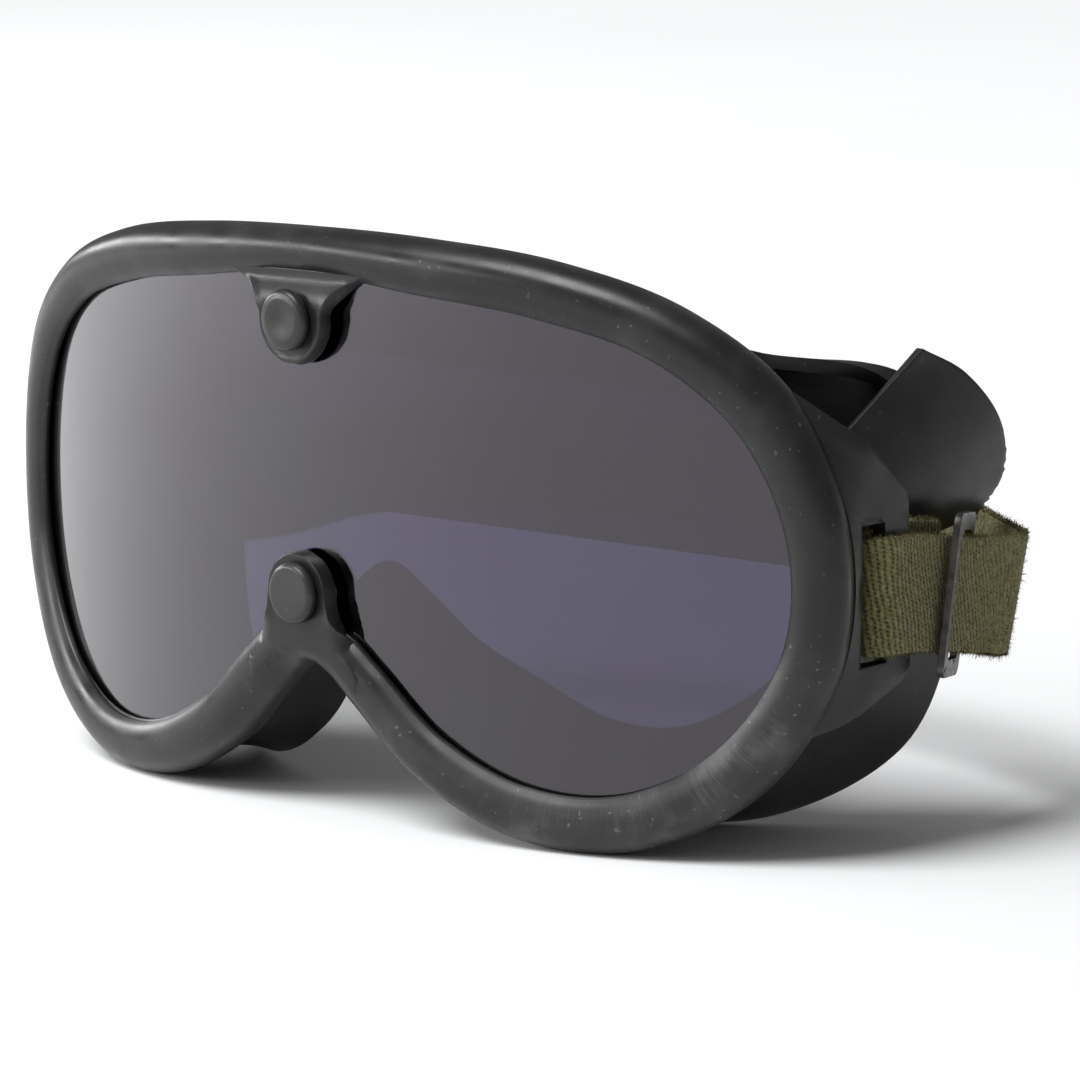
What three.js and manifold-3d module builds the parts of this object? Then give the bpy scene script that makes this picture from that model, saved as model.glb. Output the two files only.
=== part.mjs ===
// Sun, wind and dust goggles: a soft rubber frame moulding that holds one wide tinted lens, two studs
// that button the lens in, and an elastic headband with a metal slide at each ear.
// Millimetres, +Z up, the lens faces -Y and the wearer is behind it at +Y. +X is the wearer's left.
import * as THREE from "three";
import { LoftGeometry } from "three/addons/geometries/LoftGeometry.js";
import { mergeVertices } from "three/addons/utils/BufferGeometryUtils.js";
import Module from "manifold-3d";

const wasm = await Module();
wasm.setup();

// Driving dimensions. (u, z) is a place on the lens: u is the arc length from the middle.
const LENS_RADIUS = 198;
const LENS_THICKNESS = 1.5;
const LENS_IN_GROOVE = 2.3;
const TOP_STUD_Z = 32;
const NOSE_STUD_Z = -11.8;
const STUD_HEAD_RADIUS = 4.9;
const STUD_SHANK_RADIUS = 2.1;
const STUD_HOLE_RADIUS = 2.6;
const TAB_FRONT = -3.3;
const TAB_THICKNESS = 2.4;
const REAR_TAB_FRONT = 2.4;
const REAR_TAB_THICKNESS = 2.2;
const WALL = 2.2;
const FLANGE = 1.6;
const FACE_DEPTH = 18;
const FACE_CURVE = 158;
const EAR = 2.5;
const POST = { x: 89.3, front: 34.8, back: 40.2, top: 7.5, bottom: -21.5 };
const SLOT = { front: 29.7, top: 3.4, bottom: -19.6 };
const SLOT_REACH = 15;
const FOAM = 1.5;
const STRAP_WIDTH = 18.4;
const STRAP = 1.6;
const SLIDE_STRIP = 1.1;
const SLIDE_BAR = 2.8;

// Half outlines, from the brow's middle round the wearer's left eye to the nose. Point k of one
// belongs to point k of the others: lens opening and bezel edge as (u, z), the face side as (x, z).
const OPENING = [
  [0, 39.4], [24, 37.2], [47, 34.4], [66, 29], [80, 18.2], [87.4, 2], [86.6, -15],
  [76, -30.6], [60, -38.8], [43, -38.9], [27, -32.4], [15, -22.7], [8, -17.8], [0, -17],
];
const BEZEL_EDGE = [
  [0, 46.4], [25, 45.7], [49.5, 43], [71, 36.4], [88, 23.8], [96.4, 3.4], [95, -18.6],
  [83, -37.2], [62, -47.8], [40.5, -47.8], [21.5, -39.8], [9.5, -30], [3.8, -25.2], [0, -23.6],
];
const FACE_EDGE = [
  [0, 33.5], [24, 32], [45, 29.2], [62, 25.8], [75, 23], [83, 3], [82, -15],
  [76, -36], [61, -46.4], [42, -46.9], [26, -43], [15, -35.5], [7, -23], [0, -15],
];
const FLANGE_EDGE = [
  [0, 24], [24, 22.6], [43, 20.6], [57, 17], [65, 11], [67, 2], [66, -12],
  [62, -24], [50, -33], [40, -32.6], [28, -26.4], [17, -20.5], [8.5, -14], [0, -9.5],
];
const LAST = OPENING.length - 1;
const STEPS_PER_POINT = 3;

const RUBBER = { color: 0x2d2f30, roughness: 0.55, metalness: 0 };
const FABRIC = { color: 0x5f5c3a, roughness: 0.95, metalness: 0 };
const STEEL = { color: 0x3c3c40, roughness: 0.4, metalness: 0.9 };
const TINT = { color: 0x4a4652, roughness: 0.05, metalness: 0 };
const STUD = { color: 0x3a3b3d, roughness: 0.35, metalness: 0 };
const SPONGE = { color: 0x6b6b68, roughness: 1, metalness: 0 };

const group = new THREE.Group();
const v3 = (x, y, z) => new THREE.Vector3(x, y, z);

function add(name, geometry, look) {
  const mesh = new THREE.Mesh(geometry, new THREE.MeshStandardMaterial(look));
  mesh.name = name;
  group.add(mesh);
}

// A three.js geometry as a solid, turned outside out where its faces point in.
function solid(geometry) {
  const bare = new THREE.BufferGeometry().copy(geometry);
  bare.deleteAttribute("normal");
  bare.deleteAttribute("uv");
  const merged = mergeVertices(bare, 1e-4);
  const vertProperties = new Float32Array(merged.attributes.position.array);
  const triVerts = new Uint32Array(merged.index.array);
  const numProp = 3;
  const made = new wasm.Manifold(new wasm.Mesh({ numProp, vertProperties, triVerts }));
  if (made.volume() > 0) return made;
  triVerts.reverse();
  return new wasm.Manifold(new wasm.Mesh({ numProp, vertProperties, triVerts }));
}

function geometryOf(manifold) {
  const { vertProperties, triVerts } = manifold.getMesh();
  const geometry = new THREE.BufferGeometry();
  geometry.setAttribute("position", new THREE.BufferAttribute(vertProperties, 3));
  geometry.setIndex(new THREE.BufferAttribute(triVerts, 1));
  return geometry;
}

const centre = (points) => points.reduce((sum, p) => sum.add(p), v3()).divideScalar(points.length);

// A loft through closed sections, with flat ends. Its sections are wound to suit its direction.
function loft(sections) {
  const [first, second] = sections;
  const turn = v3();
  first.forEach((p, i) => turn.add(v3().crossVectors(p, first[(i + 1) % first.length])));
  const onward = centre(second).sub(centre(first));
  const wound = turn.dot(onward) > 0 ? sections : sections.map((points) => [...points].reverse());
  return solid(new LoftGeometry(wound, { capStart: true, capEnd: true }));
}
const ringLoft = (sections) => solid(new LoftGeometry([...sections, sections[0]]));
const mirrored = (manifold) => manifold.mirror([1, 0, 0]);

function box(low, high) {
  const size = v3().subVectors(high, low);
  const geometry = new THREE.BoxGeometry(size.x, size.y, size.z);
  geometry.translate(low.x + size.x / 2, low.y + size.y / 2, low.z + size.z / 2);
  return solid(geometry);
}

// A flat plate facing -Y, from its outline in (x, z).
function plate(shape, front, thickness) {
  const geometry = new THREE.ExtrudeGeometry(shape, { depth: thickness, bevelEnabled: false });
  geometry.rotateX(Math.PI / 2);
  geometry.translate(0, front + thickness, 0);
  return solid(geometry);
}

// The place at (u, z) on the lens, a depth behind its front face.
function wrap(u, z, depth) {
  const angle = u / LENS_RADIUS;
  const radius = LENS_RADIUS - depth;
  return v3(radius * Math.sin(angle), LENS_RADIUS - radius * Math.cos(angle), z);
}

// A closed left and right outline as a smooth curve. at(k) takes the half outline's own count, from
// -LAST at the nose on the right, through 0 at the brow, to LAST at the nose on the left.
function outline(half) {
  const left = half.map(([a, b]) => v3(a, b, 0));
  const right = half.slice(1, -1).reverse().map(([a, b]) => v3(-a, b, 0));
  const curve = new THREE.CatmullRomCurve3([...left, ...right], true, "centripetal");
  return (k) => curve.getPoint((((k / (2 * LAST)) % 1) + 1) % 1);
}
const opening = outline(OPENING);
const bezelEdge = outline(BEZEL_EDGE);
const faceEdge = outline(FACE_EDGE);
const flangeEdge = outline(FLANGE_EDGE);
const range = (from, to, steps) =>
  Array.from({ length: steps + 1 }, (_, i) => from + ((to - from) * i) / steps);
const stations = (from, to) => range(from, to, Math.round((to - from) * STEPS_PER_POINT));
const aroundRing = stations(-LAST, LAST).slice(0, -1);

// A place across the bezel: 0 is the lens opening's lip and 1 is the outer edge.
function acrossBezel(k, share, depth) {
  const p = opening(k).lerp(bezelEdge(k), share);
  return wrap(p.x, p.y, depth);
}
const outward = (k) => acrossBezel(k, 1, 0).sub(acrossBezel(k, 0, 0)).normalize();
const faceY = (x) => FACE_DEPTH + (x * x) / FACE_CURVE;
const onFace = (p, behind) => v3(p.x, faceY(p.x) + behind, p.y);

// The bezel's section is a rounded bead with the lens groove in its inner side.
const GROOVE = { front: -0.35, back: LENS_THICKNESS + 0.35, share: 0.4 };
const BEAD = [
  [0, -1.2], [0.14, -2.3], [0.42, -3.1], [0.74, -2.6], [0.95, -0.6], [1, 1.8], [0.93, 4.6],
  [0.8, 6.3], [0.38, 6.6], [0.06, 6.2], [0.03, GROOVE.back], [GROOVE.share, GROOVE.back],
  [GROOVE.share, GROOVE.front], [0, GROOVE.front],
];
const bezel = ringLoft(aroundRing.map((k) => BEAD.map(([share, d]) => acrossBezel(k, share, d))));

// The wall runs back from the bezel, pulls in a little, and flares to the face side.
const WALL_START = 6.95;
const WALL_WAIST = 14;
const WALL_SHARE = { start: 0.62, waist: 0.42 };
function onWall(k, s, off) {
  const start = acrossBezel(k, WALL_SHARE.start, WALL_START);
  const waist = acrossBezel(k, WALL_SHARE.waist, WALL_WAIST);
  const end = onFace(faceEdge(k), 0);
  const p = start.multiplyScalar((1 - s) ** 2).addScaledVector(waist, 2 * s * (1 - s));
  return p.addScaledVector(end, s * s).addScaledVector(outward(k), off);
}
const FOAM_SPAN = [0.55, 0.9];
const WALL_STEPS = [0, 0.2, 0.45, ...FOAM_SPAN, 1];
const wallSection = (k) => [
  ...WALL_STEPS.map((s) => onWall(k, s, WALL / 2)),
  ...[...WALL_STEPS].reverse().map((s) => onWall(k, s, -WALL / 2)),
];
const TEMPLE_CUT = [v3(62, 37.6, -4.4), v3(96, 80, 21.5)];
const templeCut = box(...TEMPLE_CUT);
const wholeWall = ringLoft(aroundRing.map(wallSection));
const cupWall = wholeWall.subtract(templeCut).subtract(mirrored(templeCut));

// The thin sealing flange turns in from the wall along the face.
const FLANGE_GAP = 0.5;
function flange(from, to, widest = Infinity) {
  return loft(stations(from, to).map((k) => {
    const outer = faceEdge(k).addScaledVector(v3(outward(k).x, outward(k).z, 0), WALL / 2);
    outer.setX(THREE.MathUtils.clamp(outer.x, -widest, widest));
    const middle = faceEdge(k).lerp(flangeEdge(k), 0.5);
    const line = [outer, middle, flangeEdge(k)];
    return [
      ...line.map((p) => onFace(p, FLANGE_GAP)),
      ...line.reverse().map((p) => onFace(p, FLANGE_GAP + FLANGE)),
    ];
  }));
}
const CHEEK = { from: 5 + 2 / 3, to: 11 };
const NOSE_GAP = 0.07;
const BROW_END = 4 + 2 / 3;
const INSIDE_FLAP = 77.5;
const cheekFlange = flange(CHEEK.from, CHEEK.to);
const noseFlange = flange(CHEEK.to + NOSE_GAP, 2 * LAST - CHEEK.to - NOSE_GAP);

// The temple flap is the flange's temple part, cut free and curled outward like a fan.
const FLAP_BASE = [v3(79.6, 38.1, 16), v3(81.2, 38.1, 9), v3(82.4, 38.1, 2), v3(82.6, 38.1, -3.9)];
const FLAP_EDGE = [
  v3(82.3, 53, 27.6), v3(83.6, 62, 22.6), v3(83.9, 69.5, 14), v3(82.6, 71.5, 6), v3(80.9, 67, -0.5),
];
const FLAP_BULGE = 1.2;
const flapBase = new THREE.CatmullRomCurve3(FLAP_BASE);
const flapEdge = new THREE.CatmullRomCurve3(FLAP_EDGE);
const templeFlap = loft(range(0, 1, 10).map((s) => {
  const base = flapBase.getPoint(s);
  const edge = flapEdge.getPoint(s);
  const line = range(0, 1, 4).map((r) => {
    const p = base.clone().lerp(edge, r);
    p.x += FLAP_BULGE * Math.sin(Math.PI * s) * Math.sin(Math.PI * r);
    return p;
  });
  const shift = v3(FLANGE / 2, 0, 0);
  return [
    ...line.map((p) => p.clone().add(shift)),
    ...line.reverse().map((p) => p.clone().sub(shift)),
  ];
}));

// The ear is a plate from the bezel's back edge to a post, with the headband's slot before the post.
const EAR_FROM = 3.98;
const EAR_TO = 6.5;
const EAR_ROWS = 8;
const EAR_STRAIGHT = 0.4;
const EAR_START = { share: 0.94, depth: 7.1 };
const earPlate = loft(range(0, 1, 5).map((s) => {
  const line = range(0, 1, EAR_ROWS).map((r) => {
    const front = acrossBezel(EAR_FROM + (EAR_TO - EAR_FROM) * r, EAR_START.share, EAR_START.depth);
    const end = v3(POST.x, POST.back, POST.top + (POST.bottom - POST.top) * r);
    const x = front.x + (end.x - front.x) * Math.min(1, s / EAR_STRAIGHT);
    return front.lerp(end, s).setX(x);
  });
  const shift = v3(EAR / 2, 0, 0);
  return [
    ...line.map((p) => p.clone().add(shift)),
    ...line.reverse().map((p) => p.clone().sub(shift)),
  ];
}));
const slot = box(
  v3(POST.x - SLOT_REACH, SLOT.front, SLOT.bottom),
  v3(POST.x + SLOT_REACH, POST.front, SLOT.top),
);
const ear = earPlate.subtract(slot);

// Tabs: a flared root, a round end and a hole for the stud. The nose tabs point up.
const TAB_SHOULDER = 0.25;
const TAB_FLARE = { out: 1.3, in: 2.6 };
function tabShape({ rootHalf, rootZ, studZ, radius }) {
  const side = Math.sign(rootZ - studZ);
  const angle = Math.asin(TAB_SHOULDER) * side;
  const shoulder = v3(radius * Math.cos(angle), studZ + radius * Math.sin(angle), 0);
  const flare = v3(radius * TAB_FLARE.out, rootZ - side * TAB_FLARE.in, 0);
  const shape = new THREE.Shape();
  shape.moveTo(-rootHalf, rootZ);
  shape.lineTo(rootHalf, rootZ);
  shape.quadraticCurveTo(flare.x, flare.y, shoulder.x, shoulder.y);
  shape.absarc(0, studZ, radius, angle, Math.PI - angle, side > 0);
  shape.quadraticCurveTo(-flare.x, flare.y, -rootHalf, rootZ);
  const hole = new THREE.Path();
  hole.absarc(0, studZ, STUD_HOLE_RADIUS, 0, 2 * Math.PI, false);
  shape.holes.push(hole);
  return shape;
}
const TOP_TAB = { rootHalf: 15, rootZ: 37.8, studZ: TOP_STUD_Z, radius: 7 };
const NOSE_TAB = { rootHalf: 8.6, rootZ: -16.6, studZ: NOSE_STUD_Z, radius: 6.4 };
const topTabShape = tabShape(TOP_TAB);
const noseTabShape = tabShape(NOSE_TAB);

// A stud is turned: a low domed head, and a shank through the tab, the lens and the rear tab.
const STUD_END = REAR_TAB_FRONT + REAR_TAB_THICKNESS + 0.4;
const HEAD_BACK = TAB_FRONT - 0.3;
const HEAD_FRONT = HEAD_BACK - 1.7;
const STUD_SIDES = 28;
function stud(z) {
  const head = STUD_HEAD_RADIUS;
  const shank = STUD_SHANK_RADIUS;
  const profile = [
    [0, HEAD_FRONT], [head * 0.72, HEAD_FRONT + 0.12], [head * 0.93, HEAD_FRONT + 0.5],
    [head, HEAD_FRONT + 1.1], [head * 0.96, HEAD_BACK], [shank, HEAD_BACK],
    [shank, STUD_END - 0.7], [shank * 0.6, STUD_END], [0, STUD_END],
  ];
  const geometry = new THREE.LatheGeometry(profile.map(([r, y]) => new THREE.Vector2(r, y)), STUD_SIDES);
  geometry.translate(0, 0, z);
  return solid(geometry);
}

// The lens is a curved sheet cut to the groove's outline, with two stud holes.
const SHEET = { half: 98, top: 60, steps: 44 };
const sheet = loft(range(-SHEET.half, SHEET.half, SHEET.steps).map((u) => [
  wrap(u, -SHEET.top, 0), wrap(u, SHEET.top, 0),
  wrap(u, SHEET.top, LENS_THICKNESS), wrap(u, -SHEET.top, LENS_THICKNESS),
]));
const lensShape = new THREE.Shape(aroundRing.map((k) => {
  const lip = opening(k);
  const edge = bezelEdge(k).sub(lip).setLength(LENS_IN_GROOVE).add(lip);
  return new THREE.Vector2(LENS_RADIUS * Math.sin(edge.x / LENS_RADIUS), edge.y);
}));
for (const z of [TOP_STUD_Z, NOSE_STUD_Z]) {
  const hole = new THREE.Path();
  hole.absarc(0, z, STUD_HOLE_RADIUS, 0, 2 * Math.PI, false);
  lensShape.holes.push(hole);
}
const LENS_BLANK = { front: -5, depth: 60 };
const lens = plate(lensShape, LENS_BLANK.front, LENS_BLANK.depth).intersect(sheet);

// The foam strip lies on the brow wall over the vent holes.
const FOAM_UNDERSIDE = WALL / 2 + 0.15;
const FOAM_END = 2 + 2 / 3;
const topFoam = loft(stations(-FOAM_END, FOAM_END).map((k) => [
  ...FOAM_SPAN.map((s) => onWall(k, s, FOAM_UNDERSIDE)),
  ...[...FOAM_SPAN].reverse().map((s) => onWall(k, s, FOAM_UNDERSIDE + FOAM)),
]));

// Webbing stands on edge along a path of (x, y) with its middle height beside each point.
function webbing(points, steps) {
  const route = points.map(([x, y, z]) => v3(x, y, z));
  const curve = new THREE.CatmullRomCurve3(route, false, "centripetal");
  return loft(range(0, 1, steps).map((s) => {
    const middle = curve.getPoint(s);
    const along = curve.getTangent(s);
    const side = v3(along.y, -along.x, 0).setLength(STRAP / 2);
    const up = v3(0, 0, STRAP_WIDTH / 2);
    return [
      middle.clone().add(side).add(up), middle.clone().sub(side).add(up),
      middle.clone().sub(side).sub(up), middle.clone().add(side).sub(up),
    ];
  }));
}
const STRAP_BEND = 62.6;
const LOOP_STEPS = 34;
const HEADBAND_STEPS = 52;
const strapLoop = webbing([
  [85.6, 52.5, -8.9], [86.3, 45, -8.5], [86.5, 38.5, -8.1], [86.75, 34, -8], [89.3, 31.9, -7.9],
  [91.85, 34, -7.8], [92.1, 38.5, -8], [91.4, 48, -9.4], [90.6, 57, -10.9], [90.25, STRAP_BEND, -11.8],
], LOOP_STEPS);
const headbandHalf = [
  [90.2, STRAP_BEND + 0.35, -11.85], [89.6, 66.4, -12.2], [86.8, 69.9, -12], [80, 73.8, -10.8],
  [68, 78.4, -8.4], [45, 84.4, -4.6],
];
const headband = webbing([
  ...headbandHalf, [0, 88.6, -2.2], ...headbandHalf.map(([x, y, z]) => [-x, y, z]).reverse(),
], HEADBAND_STEPS);

// A slide is a flat strip bent to a rectangle: one bar over the webbing and one under it.
const SLIDE_LEAN = 0.2;
const SLIDE_FRONT = v3(93.5, 46.3, -9.2);
const SLIDE_REAR = v3(88.8, 55.4, -10.6);
const SLIDE_REACH = STRAP_WIDTH / 2 + 2;
const STRAP_RUN = v3(-0.075, 0.985, -0.155);
function bar(a, b, across, thick) {
  const along = v3().subVectors(b, a).normalize();
  const side = across.clone().addScaledVector(along, -across.dot(along)).setLength(SLIDE_BAR / 2);
  const face = v3().crossVectors(along, side).setLength(thick / 2);
  return loft([a, b].map((p) => [
    p.clone().add(side).add(face), p.clone().sub(side).add(face),
    p.clone().sub(side).sub(face), p.clone().add(side).sub(face),
  ]));
}
function slideLoop() {
  const lift = v3(0, SLIDE_LEAN, 1).multiplyScalar(SLIDE_REACH);
  const corner = (p, sign) => p.clone().addScaledVector(lift, sign);
  const upright = (p) => bar(corner(p, -1), corner(p, 1), STRAP_RUN, SLIDE_STRIP);
  const tie = (sign) => bar(corner(SLIDE_FRONT, sign), corner(SLIDE_REAR, sign), v3(1, 0, 0), SLIDE_BAR);
  return upright(SLIDE_FRONT).add(upright(SLIDE_REAR)).add(tie(1)).add(tie(-1));
}
const slide = slideLoop();

function addPair(name, manifold, look) {
  add("left_" + name, geometryOf(manifold), look);
  add("right_" + name, geometryOf(mirrored(manifold)), look);
}

add("bezel", geometryOf(bezel), RUBBER);
add("cup_wall", geometryOf(cupWall), RUBBER);
add("brow_flange", geometryOf(flange(-BROW_END, BROW_END, INSIDE_FLAP)), RUBBER);
add("nose_flange", geometryOf(noseFlange), RUBBER);
addPair("cheek_flange", cheekFlange, RUBBER);
addPair("temple_flap", templeFlap, RUBBER);
addPair("ear", ear, RUBBER);
add("top_tab", geometryOf(plate(topTabShape, TAB_FRONT, TAB_THICKNESS)), RUBBER);
add("nose_tab", geometryOf(plate(noseTabShape, TAB_FRONT, TAB_THICKNESS)), RUBBER);
add("top_rear_tab", geometryOf(plate(topTabShape, REAR_TAB_FRONT, REAR_TAB_THICKNESS)), RUBBER);
add("nose_rear_tab", geometryOf(plate(noseTabShape, REAR_TAB_FRONT, REAR_TAB_THICKNESS)), RUBBER);
add("lens", geometryOf(lens), TINT);
add("top_stud", geometryOf(stud(TOP_STUD_Z)), STUD);
add("nose_stud", geometryOf(stud(NOSE_STUD_Z)), STUD);
add("top_vent_foam", geometryOf(topFoam), SPONGE);
addPair("strap_loop", strapLoop, FABRIC);
add("headband", geometryOf(headband), FABRIC);
addPair("slide", slide, STEEL);

// The origin is under the middle of the whole, on the surface that the goggles stand on.
const bounds = new THREE.Box3().setFromObject(group);
const middle = bounds.getCenter(v3());
group.position.set(-middle.x, -middle.y, -bounds.min.z);

export default group;
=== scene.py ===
"""Looks for rubber dust goggles: smooth moulded rubber, a tinted lens and a knitted headband."""

import math
import random

import bpy
from mathutils import Matrix, Vector, noise
from mathutils.geometry import delaunay_2d_cdt


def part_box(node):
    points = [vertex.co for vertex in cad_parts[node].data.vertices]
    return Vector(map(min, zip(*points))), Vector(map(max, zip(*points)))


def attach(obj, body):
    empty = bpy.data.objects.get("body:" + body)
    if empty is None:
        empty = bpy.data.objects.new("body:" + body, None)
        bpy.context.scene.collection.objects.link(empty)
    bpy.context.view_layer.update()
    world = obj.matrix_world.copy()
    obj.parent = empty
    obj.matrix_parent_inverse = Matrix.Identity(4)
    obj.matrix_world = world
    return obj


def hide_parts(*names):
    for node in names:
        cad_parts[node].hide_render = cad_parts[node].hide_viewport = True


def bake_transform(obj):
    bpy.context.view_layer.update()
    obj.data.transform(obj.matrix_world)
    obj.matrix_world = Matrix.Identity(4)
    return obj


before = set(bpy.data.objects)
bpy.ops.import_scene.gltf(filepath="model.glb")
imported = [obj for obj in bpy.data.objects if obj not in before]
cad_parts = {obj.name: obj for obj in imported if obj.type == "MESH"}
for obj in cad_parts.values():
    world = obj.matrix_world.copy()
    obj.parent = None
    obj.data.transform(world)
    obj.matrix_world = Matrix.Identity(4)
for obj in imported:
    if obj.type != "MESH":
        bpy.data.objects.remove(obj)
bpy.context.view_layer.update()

# The design frame is in millimetres with the lens's front face at y = 0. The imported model's own
# origin is under the middle of its box, so a point moves by this much on its way there.
MM = 0.001
LENS_RADIUS = 198.0
LENS_THICKNESS = 1.5
lens_low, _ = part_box("lens")
_, bezel_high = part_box("bezel")
BEZEL_TOP = 46.4
SHIFT = Vector((0, lens_low.y / MM, bezel_high.z / MM - BEZEL_TOP))

# Half outlines from the brow's middle to the nose; point k of one belongs to point k of the others.
OPENING = [
    (0, 39.4), (24, 37.2), (47, 34.4), (66, 29), (80, 18.2), (87.4, 2), (86.6, -15),
    (76, -30.6), (60, -38.8), (43, -38.9), (27, -32.4), (15, -22.7), (8, -17.8), (0, -17),
]
BEZEL_EDGE = [
    (0, BEZEL_TOP), (25, 45.7), (49.5, 43), (71, 36.4), (88, 23.8), (96.4, 3.4), (95, -18.6),
    (83, -37.2), (62, -47.8), (40.5, -47.8), (21.5, -39.8), (9.5, -30), (3.8, -25.2), (0, -23.6),
]
FACE_EDGE = [
    (0, 33.5), (24, 32), (45, 29.2), (62, 25.8), (77, 22.7), (83, 3), (82, -15),
    (76, -36), (61, -46.4), (42, -46.9), (26, -43), (15, -35.5), (7, -23), (0, -15),
]
FLANGE_EDGE = [
    (0, 24), (24, 22.6), (43, 20.6), (57, 17), (65, 11), (67, 2), (66, -12),
    (62, -24), (50, -33), (40, -32.6), (28, -26.4), (17, -20.5), (8.5, -14), (0, -9.5),
]
LAST = len(OPENING) - 1
AROUND = 312


def row(p):
    """A point of the design frame, in millimetres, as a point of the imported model, in metres."""
    return (Vector(p) + SHIFT) * MM


def spline(points, closed):
    """A centripetal Catmull-Rom curve through points, as a function of a number from 0 to 1."""
    points = [Vector(p) for p in points]
    count = len(points)
    spans = count if closed else count - 1

    def at(share):
        place = (share % 1.0 if closed else min(max(share, 0), 1)) * spans
        i = min(int(place), spans - 1)
        t = place - i
        if closed:
            a, b, c, d = (points[(i + k) % count] for k in (-1, 0, 1, 2))
        else:
            b, c = points[i], points[i + 1]
            a = points[i - 1] if i > 0 else 2 * b - c
            d = points[i + 2] if i + 2 < count else 2 * c - b
        knots = [math.sqrt(max((q - p).length, 1e-9)) for p, q in ((a, b), (b, c), (c, d))]
        m1 = (c - b) + knots[1] * ((b - a) / knots[0] - (c - a) / (knots[0] + knots[1]))
        m2 = (c - b) + knots[1] * ((d - c) / knots[2] - (d - b) / (knots[1] + knots[2]))
        h = (2 * b - 2 * c + m1 + m2) * t ** 3 + (-3 * b + 3 * c - 2 * m1 - m2) * t ** 2
        return h + m1 * t + b

    return at


def outline(half):
    """The closed curve of a half outline and its mirror image, as a function of the station."""
    left = [(a, b, 0) for a, b in half]
    right = [(-a, b, 0) for a, b in reversed(half[1:-1])]
    curve = spline(left + right, True)
    return lambda k: curve(k / (2 * LAST))


opening = outline(OPENING)
bezel_edge = outline(BEZEL_EDGE)
face_edge = outline(FACE_EDGE)
flange_edge = outline(FLANGE_EDGE)


def wrap(u, z, depth):
    """A point at a distance along the lens's curve, at a height, at a depth behind its front face."""
    angle = u / LENS_RADIUS
    radius = LENS_RADIUS - depth
    return Vector((radius * math.sin(angle), LENS_RADIUS - radius * math.cos(angle), z))


def across_bezel(k, share, depth):
    """A point at a station, at a share of the way from the opening's edge to the bezel's, at a depth."""
    p = opening(k).lerp(bezel_edge(k), share)
    return wrap(p.x, p.y, depth)


def stations(count=AROUND):
    return [2 * LAST * i / count for i in range(count)]


def span(start, stop, steps):
    return [start + (stop - start) * i / steps for i in range(steps + 1)]


def smooth_step(low, high, value):
    share = min(max((value - low) / (high - low), 0), 1)
    return share * share * (3 - 2 * share)


def mesh_piece(name, vertices, faces, material, body="root"):
    """A smooth mesh from points of the design frame, riding on a body unless body is None."""
    data = bpy.data.meshes.new(name)
    data.from_pydata([tuple(row(v)) for v in vertices], [], faces)
    data.validate()
    data.shade_smooth()
    data.materials.append(material)
    piece = bpy.data.objects.new(name, data)
    bpy.context.scene.collection.objects.link(piece)
    if body:
        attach(piece, body)
    return piece


def stands_for(piece, slot, *nodes):
    """Hides the CAD nodes that a piece replaces; its slot, meant to say what it is made of, is not used.
    """
    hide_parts(*nodes)
    return piece


def vector_attribute(piece, name, values):
    layer = piece.data.attributes.new(name, "FLOAT_VECTOR", "POINT")
    layer.data.foreach_set("vector", [number for value in values for number in value])


def ring_faces(count, size, closed):
    """Faces between rings of points one after the other, joined end to end or closed by end caps."""
    faces = []
    for i in range(count if closed else count - 1):
        j = (i + 1) % count
        for a in range(size):
            b = (a + 1) % size
            faces.append((i * size + a, i * size + b, j * size + b, j * size + a))
    if not closed:
        faces.append(tuple(reversed(range(size))))
        faces.append(tuple(range((count - 1) * size, count * size)))
    return faces


def thicken(piece, thickness, rim=0.5):
    """Gives a sheet its thickness and rounds its edges."""
    solid = piece.modifiers.new("thickness", "SOLIDIFY")
    solid.thickness = thickness * MM
    solid.offset = 0
    edge = piece.modifiers.new("rounded_edges", "BEVEL")
    edge.width = rim * MM
    edge.segments = 3
    edge.limit_method = "ANGLE"
    edge.angle_limit = math.radians(50)
    edge.use_clamp_overlap = True
    return piece


def grid_piece(name, rows, material, body="root"):
    size = len(rows[0])
    faces = []
    for i in range(len(rows) - 1):
        for a in range(i * size, i * size + size - 1):
            faces.append((a, a + 1, a + size + 1, a + size))
    return mesh_piece(name, [p for points in rows for p in points], faces, material, body)


def inside(point, loop):
    hit = False
    for (x1, y1), (x2, y2) in zip(loop, loop[1:] + loop[:1]):
        if (y1 > point[1]) != (y2 > point[1]):
            hit ^= point[0] < x1 + (point[1] - y1) * (x2 - x1) / (y2 - y1)
    return hit


def fill(outer, holes, spacing):
    """Triangles of a flat shape with holes, with inner points on a lattice, as 2-D points and faces."""
    loops = [outer, *holes]
    points = [p for loop in loops for p in loop]
    edges, start = [], 0
    for loop in loops:
        edges += [(start + i, start + (i + 1) % len(loop)) for i in range(len(loop))]
        start += len(loop)
    near = spacing * 0.55
    xs, ys = [p[0] for p in outer], [p[1] for p in outer]
    border = list(points)
    y = min(ys)
    while y < max(ys):
        x = min(xs)
        while x < max(xs):
            kept = inside((x, y), outer) and not any(inside((x, y), hole) for hole in holes)
            if kept and all(math.hypot(x - a, y - b) > near for a, b in border):
                points.append((x, y))
            x += spacing
        y += spacing
    flat, _, faces, *_ = delaunay_2d_cdt([Vector(p) for p in points], edges, [], 0, 1e-5)
    kept = []
    for face in faces:
        middle = sum((flat[i] for i in face), Vector((0, 0))) / len(face)
        if inside(middle, outer) and not any(inside(middle, hole) for hole in holes):
            kept.append(face)
    return flat, kept


def circle(x, y, radius, count=40):
    turns = [2 * math.pi * i / count for i in range(count)]
    return [(x + radius * math.cos(t), y + radius * math.sin(t)) for t in turns]


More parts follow.
